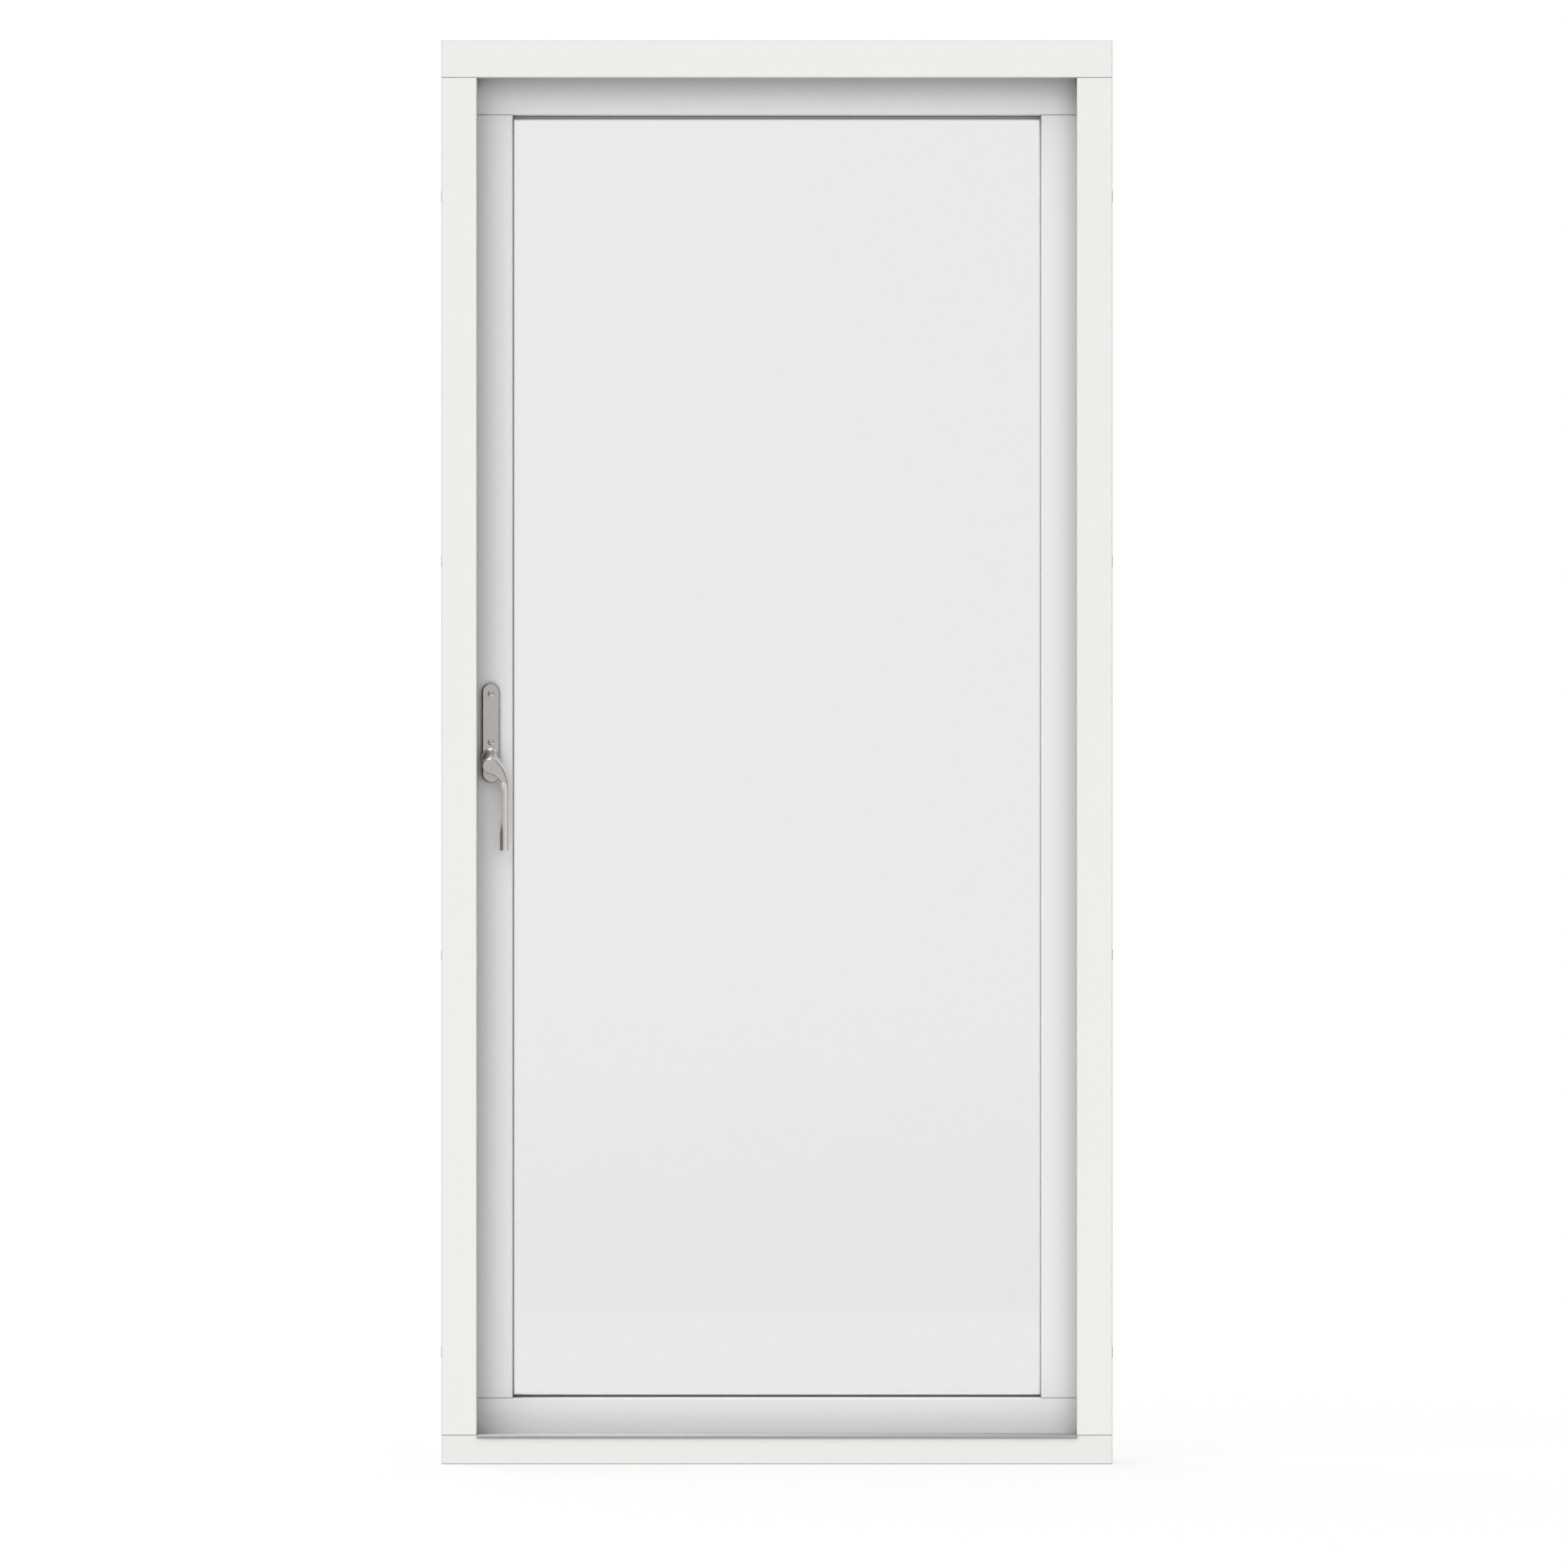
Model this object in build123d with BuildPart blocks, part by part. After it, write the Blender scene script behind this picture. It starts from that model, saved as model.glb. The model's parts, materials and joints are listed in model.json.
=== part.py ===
from build123d import *
import os

# Door frame, seen from the room: outside size and the faces that show, in millimetres
frame_width = 980
frame_height = 2080
jamb_face = 51.5
head_face = 54
sill_height = 42.5
stop_depth = 45
stop_gap = 8
frame_arris = 1.5
outer_arris = 1
joint_ease = 0.8
stop_back_round = 2
sill_fall = 8

# Sash: its thickness, the faces that show and how far it laps behind the frame's stop
sash_thickness = 62
overlap = 12
side_gap = 8
head_gap = 5
sill_gap = 5
stile_face = 51
top_rail_face = 51.5
bottom_rail_face = 51
sash_arris = 2.5
drip_groove = 5
drip_from_back = 9

# Glazing: a sealed double unit held against a shoulder by beads on the outside
shoulder = 24
glazing_rebate = 16
edge_clearance = 3
inner_seal = 3
seal_lip = 1.5
seal_cover = 12
pane = 4
cavity = 16
spacer_width = 10
outer_seal = 2
bead_slope = 3
shoulder_round = 0.5

# Threshold strip let into the sill's top, with a nose over its face and a leg behind
strip_thickness = 2.2
strip_nose = 3
nose_drop = 4
strip_leg = 2
leg_drop = 16
strip_clearance = 0.5
nose_round = 1

# Weather seal bulbs on the back of the stop
weather_seal_width = 8
weather_seal_proud = 3

# Frame sleeves: screw-adjusted fixings through both jambs, two above the base and two below the top
sleeves_above_base = (160, 743)
sleeves_below_top = (760, 224)
sleeve_radius = 9.5
sleeve_bore = 4
sleeve_proud = 2.5
sleeve_y = 8

# Lift-off hinges on the outside of the right jamb, the third half way between the other two
hinge_above_base = 250
hinge_below_top = 280
leaf_height = 90
leaf_width = 32
leaf_thickness = 3
pin_radius = 4
pin_play = 0.05
pin_length = 36
pin_end_gap = 2
knuckle_gap = 0.5
timber_clearance = 0.5

# Espagnolette lock in the left stile, bolts drawn back, and its keeps in the left jamb
lock_from_face = 24
faceplate_width = 20
faceplate_thickness = 3
faceplate_ends = 95
bolt_above_base = 330
bolt_below_top = 380
bolt_length = 34
bolt_width = 9
bolt_depth = 16
bolt_play = 0.2
strike_height = 110
strike_width = 24
strike_pocket = 12
strike_play = 1.5

# Handle plate with two raised-head screws, measured from the spindle
handle_height = 1032.5
handle_backset = 31.3
plate_below = 36
plate_above = 108.5
plate_width = 25
plate_thickness = 8
plate_edge = 1.2
screws_above_spindle = (22.2, 93.3)
screw_radius = 4.6
screw_head = 2.4
screw_head_edge = 1.6
screw_shank = 2.2
screw_length = 30

# Lever's spindle and its neck, which stands on a flared collar and leans down to the head
spindle_square = 7
spindle_length = 40
spindle_end_gap = 6
pilot_radius = 6
pilot_play = 0.05
pilot_length = 5
neck_gap = 0.3
neck_radius = 8.8
neck_start = 6
collar_radius = 14
collar_rim = 0.6
flare_turn = (2.4, 10.6)

# Lever's head, arm and grip: distances from the sash's face, then from the middle of the head
head_back = 26.5
head_front = 36
head_edge = 1.5
head_drop = 12.5
head_aside = 0.6
head_radius = 11.2
head_back_radius = 13.5
bend_drop = 32.5
grip_inner = 16.9
grip_outer = 26.8
grip_outer_back = 28
grip_end = 123.6
heel_start = 60
heel_end = 108
heel_front = 20.5
heel_back = 14.4

# Thumb scoop down the grip's front, and the crease between head and arm
scoop_radius = 15
scoop_depth = 1.9
scoop_middle = 19.3
scoop_straight = 42
scoop_fade_up = 35
scoop_fade_out = 9
scoop_fade_aside = 4.5
crease_radius = 10
crease_depth = 0.08
crease_top = (7.3, 7.2)
crease_foot = (2, -9.7)

# Places worked out from the sizes above
frame_depth = stop_depth + stop_gap + sash_thickness
inside_face = -frame_depth / 2
outside_face = frame_depth / 2
stop_back = inside_face + stop_depth
sash_front = stop_back + stop_gap
half_width = frame_width / 2
half_opening = half_width - jamb_face
sash_half = half_opening + overlap
rebate_half = sash_half + side_gap
opening_top = frame_height - head_face
sash_top = opening_top + overlap
sash_bottom = sill_height - overlap
daylight_half = half_opening - stile_face
daylight_top = opening_top - top_rail_face
daylight_bottom = sill_height + bottom_rail_face
glazing_half = daylight_half + glazing_rebate
glazing_top = daylight_top + glazing_rebate
glazing_bottom = daylight_bottom - glazing_rebate
shoulder_back = sash_front + shoulder
lock_y = sash_front + lock_from_face
knuckle_radius = side_gap / 2 + leaf_thickness
pivot_x = sash_half + side_gap / 2
pivot_y = outside_face + knuckle_radius + timber_clearance
sleeve_heights = sleeves_above_base + tuple(frame_height - z for z in sleeves_below_top)
hinge_top = frame_height - hinge_below_top
hinge_heights = (hinge_above_base, (hinge_above_base + hinge_top) / 2, hinge_top)
bolt_heights = (bolt_above_base, handle_height, frame_height - bolt_below_top)
plate_x = -sash_half + handle_backset
plate_middle = handle_height + (plate_above - plate_below) / 2
screw_heights = tuple(handle_height + z for z in screws_above_spindle)
head_x = plate_x - head_aside
head_z = handle_height - head_drop
bend_z = head_z - bend_drop

os.makedirs("parts", exist_ok=True)


def save(part, name):
    part.label = name
    export_step(part, f"parts/{name}.step")


def corner_sliver(y, z, toward_y, toward_z, radius):
    # What a quarter round takes off a square corner at (y, z)
    with Locations((y + toward_y * radius / 2, z + toward_z * radius / 2)):
        Rectangle(radius, radius)
    with Locations((y + toward_y * radius, z + toward_z * radius)):
        Circle(radius, mode=Mode.SUBTRACT)


def upright(x_outer, x_inner, x_rebate, y_front, y_step, y_back, z_low, z_high, arris, step_round):
    # A jamb or stile: an L section with its rebate behind the step, its ends eased at the joints
    with BuildPart() as member:
        with BuildSketch(Plane.XY.offset(z_low)) as section:
            with BuildLine():
                Polyline(
                    (x_outer, y_front),
                    (x_inner, y_front),
                    (x_inner, y_step),
                    (x_rebate, y_step),
                    (x_rebate, y_back),
                    (x_outer, y_back),
                    close=True,
                )
            make_face()
            fillet(section.vertices().sort_by_distance((x_inner, y_front, 0))[0], arris)
            fillet(section.vertices().sort_by_distance((x_inner, y_step, 0))[0], step_round)
            fillet(section.vertices().sort_by_distance((x_outer, y_front, 0))[0], outer_arris)
            fillet(section.vertices().sort_by_distance((x_outer, y_back, 0))[0], outer_arris)
        extrude(amount=z_high - z_low)
        with BuildSketch(Plane.YZ.offset(x_outer)) as side_view:
            with Locations(((y_front + y_back) / 2, (z_low + z_high) / 2)):
                Rectangle(y_back - y_front, z_high - z_low)
            chamfer(side_view.vertices(), joint_ease)
        extrude(amount=x_inner - x_outer, mode=Mode.INTERSECT)
    return member.part


def cross_blank(half_length, z_outer, z_inner, y_front, y_back):
    # A head, sill or rail at full length: outer edges and ends rounded, inner edges eased for the joints
    middle = (y_front + y_back) / 2
    with BuildPart() as blank:
        with BuildSketch(Plane.YZ.offset(-half_length)) as section:
            with Locations((middle, (z_outer + z_inner) / 2)):
                Rectangle(y_back - y_front, abs(z_outer - z_inner))
            chamfer(section.vertices().sort_by_distance((middle, z_inner, 0))[:2], joint_ease)
            fillet(section.vertices().sort_by_distance((middle, z_outer, 0))[:2], outer_arris)
        extrude(amount=2 * half_length)
        with BuildSketch(Plane.XY.offset(z_outer)) as plan:
            with Locations((0, middle)):
                Rectangle(2 * half_length, y_back - y_front)
            fillet(plan.vertices(), outer_arris)
        extrude(amount=z_inner - z_outer, mode=Mode.INTERSECT)
    return blank.part


def cross_member(half_length, z_outer, z_inner, z_rebate, y_front, y_step, y_back, x_open, x_rebate, arris):
    # A head or rail: its rebate and its rounded edge stop at the uprights
    inward = 1 if z_inner > z_outer else -1
    with BuildPart() as member:
        add(cross_blank(half_length, z_outer, z_inner, y_front, y_back))
        with BuildSketch(Plane.YZ.offset(-x_rebate)):
            with Locations(((y_step + y_back) / 2, (z_rebate + z_inner) / 2)):
                Rectangle(y_back - y_step, abs(z_rebate - z_inner))
        extrude(amount=2 * x_rebate, mode=Mode.SUBTRACT)
        with BuildSketch(Plane.YZ.offset(-x_open)):
            corner_sliver(y_front, z_inner, 1, -inward, arris)
        extrude(amount=2 * x_open, mode=Mode.SUBTRACT)
    return member.part


def box_between(x_low, x_high, y_low, y_high, z_low, z_high, mode=Mode.ADD):
    # A plain box between its faces, for let-in plates and the pockets that they lie in
    with Locations(((x_low + x_high) / 2, (y_low + y_high) / 2, (z_low + z_high) / 2)):
        Box(x_high - x_low, y_high - y_low, z_high - z_low, mode=mode)


# Frame head
with BuildPart() as frame_head:
    add(
        cross_member(
            half_width, frame_height, opening_top, sash_top + head_gap,
            inside_face, stop_back, outside_face, half_opening, rebate_half, frame_arris,
        )
    )
save(frame_head.part, "frame_head")

# Frame sill: falls towards the outside between the jambs, its top cut down for the threshold strip
sill_rebate = sash_bottom - sill_gap
with BuildPart() as frame_sill:
    add(cross_blank(half_width, 0, sill_height, inside_face, outside_face))
    with BuildSketch(Plane.YZ.offset(-rebate_half)):
        with BuildLine():
            Polyline(
                (stop_back, sill_height),
                (stop_back, sill_rebate),
                (outside_face, sill_rebate - sill_fall),
                (outside_face, sill_height),
                close=True,
            )
        make_face()
    extrude(amount=2 * rebate_half, mode=Mode.SUBTRACT)
    with BuildSketch(Plane.YZ.offset(-half_opening)):
        with BuildLine():
            Polyline(
                (inside_face, sill_height),
                (inside_face, sill_height - strip_thickness),
                (stop_back - strip_leg, sill_height - strip_thickness),
                (stop_back - strip_leg, sill_height - leg_drop),
                (stop_back, sill_height - leg_drop),
                (stop_back, sill_height),
                close=True,
            )
        make_face()
    extrude(amount=2 * half_opening, mode=Mode.SUBTRACT)
save(frame_sill.part, "frame_sill")


def jamb(side):
    with BuildPart() as post:
        add(
            upright(
                side * half_width, side * half_opening, side * rebate_half,
                inside_face, stop_back, outside_face, sill_height, opening_top, frame_arris, stop_back_round,
            )
        )
        with BuildSketch(Plane.YZ.offset(side * half_width)):
            with Locations(*[(sleeve_y, z) for z in sleeve_heights]):
                Circle(sleeve_radius)
        extrude(amount=-side * jamb_face, mode=Mode.SUBTRACT)
        if side > 0:
            for z in hinge_heights:
                box_between(
                    rebate_half, rebate_half + leaf_thickness,
                    outside_face - leaf_width, outside_face,
                    z - leaf_height / 2, z + leaf_height / 2, Mode.SUBTRACT,
                )
        else:
            for z in bolt_heights:
                box_between(
                    -rebate_half - faceplate_thickness, -rebate_half,
                    lock_y - strike_width / 2, lock_y + strike_width / 2,
                    z - strike_height / 2, z + strike_height / 2, Mode.SUBTRACT,
                )
                box_between(
                    -rebate_half - faceplate_thickness - strike_pocket, -rebate_half - faceplate_thickness,
                    lock_y - bolt_width / 2 - strike_play, lock_y + bolt_width / 2 + strike_play,
                    z - bolt_length / 2 - strike_play, z + bolt_length / 2 + strike_play, Mode.SUBTRACT,
                )
    return post.part


save(jamb(-1), "frame_jamb_left")
save(jamb(1), "frame_jamb_right")

# Threshold strip: a metal section with a rounded nose in front and a leg behind
with BuildPart() as threshold_strip:
    with BuildSketch(Plane.YZ.offset(-half_opening + strip_clearance)) as strip_section:
        with BuildLine():
            Polyline(
                (inside_face - strip_nose, sill_height),
                (inside_face - strip_nose, sill_height - nose_drop),
                (inside_face, sill_height - nose_drop),
                (inside_face, sill_height - strip_thickness),
                (stop_back - strip_leg, sill_height - strip_thickness),
                (stop_back - strip_leg, sill_height - leg_drop),
                (stop_back, sill_height - leg_drop),
                (stop_back, sill_height),
                close=True,
            )
        make_face()
        nose_corner = (inside_face - strip_nose, sill_height, 0)
        fillet(strip_section.vertices().sort_by_distance(nose_corner)[0], nose_round)
    extrude(amount=2 * (half_opening - strip_clearance))
save(threshold_strip.part, "threshold_strip")


# Weather seals: level bulbs run right across, upright ones stand between them
lap_middle = overlap / 2
seal_half = weather_seal_width / 2
seal_crest = stop_back + weather_seal_proud
for name, z, half_run in (
    ("weather_seal_head", opening_top + lap_middle, half_opening + lap_middle + seal_half),
    ("weather_seal_sill", sill_height - lap_middle, half_opening - strip_clearance),
):
    with BuildPart() as level_seal:
        with BuildSketch(Plane.YZ.offset(-half_run)):
            with BuildLine():
                ThreePointArc((stop_back, z - seal_half), (seal_crest, z), (stop_back, z + seal_half))
                Line((stop_back, z + seal_half), (stop_back, z - seal_half))
            make_face()
        extrude(amount=2 * half_run)
    save(level_seal.part, name)
for name, side in (("weather_seal_left", -1), ("weather_seal_right", 1)):
    x = side * (half_opening + lap_middle)
    with BuildPart() as upright_seal:
        with BuildSketch(Plane.XY.offset(sill_height)):
            with BuildLine():
                ThreePointArc((x - seal_half, stop_back), (x, seal_crest), (x + seal_half, stop_back))
                Line((x + seal_half, stop_back), (x - seal_half, stop_back))
            make_face()
        extrude(amount=opening_top + lap_middle - seal_half - sill_height)
    save(upright_seal.part, name)

# Frame sleeves, four in each jamb, their ends standing a little proud of the frame's side
for side, name in ((-1, "frame_sleeves_left"), (1, "frame_sleeves_right")):
    with BuildPart() as frame_sleeves:
        with BuildSketch(Plane.YZ.offset(side * rebate_half)):
            with Locations(*[(sleeve_y, z) for z in sleeve_heights]):
                Circle(sleeve_radius)
                Circle(sleeve_bore, mode=Mode.SUBTRACT)
        extrude(amount=side * (half_width + sleeve_proud - rebate_half))
    save(frame_sleeves.part, name)

# Strike plates let into the left jamb, each with a window for its bolt
for number, z in enumerate(bolt_heights, 1):
    with BuildPart() as strike_plate:
        with BuildSketch(Plane.YZ.offset(-rebate_half)):
            with Locations((lock_y, z)):
                Rectangle(strike_width, strike_height)
                Rectangle(bolt_width + 2 * strike_play, bolt_length + 2 * strike_play, mode=Mode.SUBTRACT)
        extrude(amount=-faceplate_thickness)
    save(strike_plate.part, f"strike_plate_{number}")


def hinge_leaf(x_face, x_back, z, z_low, z_high, bore):
    # A leaf let into the timber, its knuckle carried outside on one half of its height
    with BuildPart() as leaf:
        box_between(
            min(x_face, x_back), max(x_face, x_back),
            outside_face - leaf_width, outside_face,
            z - leaf_height / 2, z + leaf_height / 2,
        )
        with BuildSketch(Plane.XY.offset(z_low)):
            with Locations((pivot_x, pivot_y)):
                Circle(knuckle_radius)
            with Locations(((x_face + x_back) / 2, (outside_face + pivot_y) / 2)):
                Rectangle(leaf_thickness, pivot_y - outside_face)
        extrude(amount=z_high - z_low)
        if bore:
            with BuildSketch(Plane.XY.offset(z_low)):
                with Locations((pivot_x, pivot_y)):
                    Circle(pin_radius + pin_play)
            extrude(amount=pin_length + pin_end_gap, mode=Mode.SUBTRACT)
        else:
            with BuildSketch(Plane.XY.offset(z_high)):
                with Locations((pivot_x, pivot_y)):
                    Circle(pin_radius)
            extrude(amount=pin_length)
    return leaf.part


# Hinges: the frame's half carries the pin, the sash's half lifts off it
for number, z in enumerate(hinge_heights, 1):
    frame_half = hinge_leaf(rebate_half, rebate_half + leaf_thickness, z, z - leaf_height / 2, z, False)
    save(frame_half, f"hinge_frame_leaf_{number}")
    sash_leaf = hinge_leaf(
        sash_half, sash_half - leaf_thickness, z, z + knuckle_gap, z + leaf_height / 2, True
    )
    save(sash_leaf, f"hinge_sash_leaf_{number}")


def stile(side):
    with BuildPart() as post:
        add(
            upright(
                side * sash_half, side * daylight_half, side * glazing_half,
                sash_front, shoulder_back, outside_face,
                daylight_bottom, daylight_top, sash_arris, shoulder_round,
            )
        )
        if side > 0:
            for z in hinge_heights:
                box_between(
                    sash_half - leaf_thickness, sash_half,
                    outside_face - leaf_width, outside_face,
                    z - leaf_height / 2, z + leaf_height / 2, Mode.SUBTRACT,
                )
        else:
            box_between(
                -sash_half, -sash_half + faceplate_thickness,
                lock_y - faceplate_width / 2, lock_y + faceplate_width / 2,
                daylight_bottom + faceplate_ends, daylight_top - faceplate_ends, Mode.SUBTRACT,
            )
            for z in bolt_heights:
                box_between(
                    -sash_half + faceplate_thickness, -sash_half + bolt_depth,
                    lock_y - bolt_width / 2, lock_y + bolt_width / 2,
                    z - bolt_length / 2, z + bolt_length / 2, Mode.SUBTRACT,
                )
            with BuildSketch(Plane.XZ.offset(-sash_front)):
                with Locations((plate_x, handle_height)):
                    Circle(pilot_radius + pilot_play)
            extrude(amount=-spindle_length, mode=Mode.SUBTRACT)
            with BuildSketch(Plane.XZ.offset(-sash_front)):
                with Locations(*[(plate_x, z) for z in screw_heights]):
                    Circle(screw_shank)
            extrude(amount=plate_thickness - screw_length, mode=Mode.SUBTRACT)
    return post.part


save(stile(-1), "sash_stile_lock")
save(stile(1), "sash_stile_hinge")

# Sash rails: right across the sash, the bottom one with a drip groove under its outer edge
with BuildPart() as sash_rail_top:
    add(
        cross_member(
            sash_half, sash_top, daylight_top, glazing_top,
            sash_front, shoulder_back, outside_face, daylight_half, glazing_half, sash_arris,
        )
    )
save(sash_rail_top.part, "sash_rail_top")

with BuildPart() as sash_rail_bottom:
    add(
        cross_member(
            sash_half, sash_bottom, daylight_bottom, glazing_bottom,
            sash_front, shoulder_back, outside_face, daylight_half, glazing_half, sash_arris,
        )
    )
    with BuildSketch(Plane.YZ.offset(-sash_half)):
        with Locations((outside_face - drip_from_back, sash_bottom)):
            Circle(drip_groove / 2)
    extrude(amount=2 * sash_half, mode=Mode.SUBTRACT)
save(sash_rail_bottom.part, "sash_rail_bottom")


def sheet(name, half, low, high, y_front, thickness, hole_half=0, hole_low=0, hole_high=0):
    # An upright pane, or a ring where a hole is given
    with BuildPart() as slab:
        with BuildSketch(Plane.XZ.offset(-y_front)):
            with Locations((0, (low + high) / 2)):
                Rectangle(2 * half, high - low)
            if hole_half:
                with Locations((0, (hole_low + hole_high) / 2)):
                    Rectangle(2 * hole_half, hole_high - hole_low, mode=Mode.SUBTRACT)
        extrude(amount=-thickness)
    save(slab.part, name)


# Double unit: two panes on a spacer, the seals before and behind it
unit_half = glazing_half - edge_clearance
unit_low = glazing_bottom + edge_clearance
unit_high = glazing_top - edge_clearance
inner_pane = shoulder_back + inner_seal
outer_pane = inner_pane + pane + cavity
bead_front = outer_pane + pane + outer_seal
sheet("glass_inner", unit_half, unit_low, unit_high, inner_pane, pane)
sheet("glass_outer", unit_half, unit_low, unit_high, outer_pane, pane)
sheet(
    "glass_spacer", unit_half, unit_low, unit_high, inner_pane + pane, cavity,
    unit_half - spacer_width, unit_low + spacer_width, unit_high - spacer_width,
)
lip_half = daylight_half - seal_lip
lip_low = daylight_bottom + seal_lip
lip_high = daylight_top - seal_lip
sheet(
    "glazing_seal_inner", lip_half + seal_cover, lip_low - seal_cover, lip_high + seal_cover,
    shoulder_back, inner_seal, lip_half, lip_low, lip_high,
)
sheet(
    "glazing_seal_outer", lip_half + seal_cover, lip_low - seal_cover, lip_high + seal_cover,
    outer_pane + pane, outer_seal, lip_half, lip_low, lip_high,
)


def bead_section(edge, toward):
    # Bead section: deep against the timber, falling to a thin edge over the glass
    return (
        (edge, bead_front),
        (edge + toward * glazing_rebate, bead_front),
        (edge + toward * glazing_rebate, outside_face - bead_slope),
        (edge, outside_face),
    )


# Glazing beads on the outside: level ones right across the rebate, upright ones between
for name, edge, toward in (
    ("glazing_bead_top", glazing_top, -1),
    ("glazing_bead_bottom", glazing_bottom, 1),
):
    with BuildPart() as level_bead:
        with BuildSketch(Plane.YZ.offset(-glazing_half)):
            with BuildLine():
                Polyline(*[(y, z) for z, y in bead_section(edge, toward)], close=True)
            make_face()
        extrude(amount=2 * glazing_half)
    save(level_bead.part, name)
for name, side in (("glazing_bead_left", -1), ("glazing_bead_right", 1)):
    with BuildPart() as upright_bead:
        with BuildSketch(Plane.XY.offset(daylight_bottom)):
            with BuildLine():
                Polyline(*bead_section(side * glazing_half, -side), close=True)
            make_face()
        extrude(amount=daylight_top - daylight_bottom)
    save(upright_bead.part, name)

# Lock faceplate along the stile's edge, with a window for each bolt
with BuildPart() as lock_faceplate:
    with BuildSketch(Plane.YZ.offset(-sash_half)):
        with Locations((lock_y, (daylight_bottom + daylight_top) / 2)):
            Rectangle(faceplate_width, daylight_top - daylight_bottom - 2 * faceplate_ends)
        with Locations(*[(lock_y, z) for z in bolt_heights]):
            Rectangle(bolt_width, bolt_length, mode=Mode.SUBTRACT)
    extrude(amount=faceplate_thickness)
save(lock_faceplate.part, "lock_faceplate")

# Bolts, drawn back until they are flush with the faceplate
with BuildPart() as lock_bolts:
    with BuildSketch(Plane.YZ.offset(-sash_half)):
        with Locations(*[(lock_y, z) for z in bolt_heights]):
            Rectangle(bolt_width - 2 * bolt_play, bolt_length - 2 * bolt_play)
    extrude(amount=bolt_depth)
save(lock_bolts.part, "lock_bolts")

# Handle plate with rounded ends and an eased front edge
with BuildPart() as handle_plate:
    with BuildSketch(Plane.XZ.offset(-sash_front)):
        with Locations((plate_x, plate_middle)):
            SlotOverall(plate_above + plate_below, plate_width, rotation=90)
    extrude(amount=plate_thickness)
    chamfer(handle_plate.faces().sort_by(Axis.Y)[0].edges(), plate_edge)
    with BuildSketch(Plane.XZ.offset(-sash_front)):
        with Locations((plate_x, handle_height)):
            Circle(pilot_radius + pilot_play)
        with Locations(*[(plate_x, z) for z in screw_heights]):
            Circle(screw_shank)
    extrude(amount=plate_thickness, mode=Mode.SUBTRACT)
save(handle_plate.part, "handle_plate")

# Raised-head screws through the plate into the stile
screw_seat = plate_thickness - sash_front
with BuildPart() as handle_screws:
    with BuildSketch(Plane.XZ.offset(screw_seat)):
        with Locations(*[(plate_x, z) for z in screw_heights]):
            Circle(screw_radius)
    extrude(amount=screw_head)
    chamfer(handle_screws.faces().sort_by(Axis.Y)[:2].edges(), screw_head_edge)
    with BuildSketch(Plane.XZ.offset(screw_seat)):
        with Locations(*[(plate_x, z) for z in screw_heights]):
            Circle(screw_shank)
    extrude(amount=-screw_length)
save(handle_screws.part, "handle_screws")

# Spindle: a square bar from the lever through the plate into the lock
with BuildPart() as handle_spindle:
    with BuildSketch(Plane.XZ.offset(plate_thickness - pilot_length - sash_front)):
        with Locations((plate_x, handle_height)):
            Rectangle(spindle_square, spindle_square)
    extrude(amount=pilot_length - plate_thickness - spindle_length + spindle_end_gap)
save(handle_spindle.part, "handle_spindle")


def lever_outline(reach, centre, radius, outer, heel):
    # Round head, arm and grip at one distance from the sash: both sweeps run tangent to the head
    x_outer = head_x + outer
    x_inner = head_x + grip_inner
    drop = centre.Y - bend_z
    outer_run = x_outer - centre.X
    inner_run = x_inner - centre.X
    outer_sweep = (outer_run**2 + drop**2 - radius**2) / (outer_run - radius) / 2
    inner_sweep = (inner_run**2 + drop**2 - radius**2) / (inner_run + radius) / 2
    outer_touch = centre + (centre - Vector(x_outer - outer_sweep, bend_z)).normalized() * radius
    inner_touch = centre + (Vector(x_inner - inner_sweep, bend_z) - centre).normalized() * radius
    heel_x = head_x + heel
    heel_top = head_z - heel_start
    heel_foot = head_z - heel_end
    heel_turn = (heel_top + heel_foot) / 2
    with BuildSketch(Plane.XZ.offset(reach - sash_front)) as outline:
        with BuildLine():
            ThreePointArc(outer_touch, (centre.X - radius, centre.Y), inner_touch)
            TangentArc((x_inner, bend_z), inner_touch, tangent=(0, 1))
            Line((x_inner, bend_z), (x_inner, heel_top))
            Bezier((x_inner, heel_top), (x_inner, heel_turn), (heel_x, heel_turn), (heel_x, heel_foot))
            Polyline(
                (heel_x, heel_foot),
                (heel_x, head_z - grip_end),
                (x_outer, head_z - grip_end),
                (x_outer, bend_z),
            )
            TangentArc((x_outer, bend_z), outer_touch, tangent=(0, 1))
        make_face()
    return outline.sketch


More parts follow.
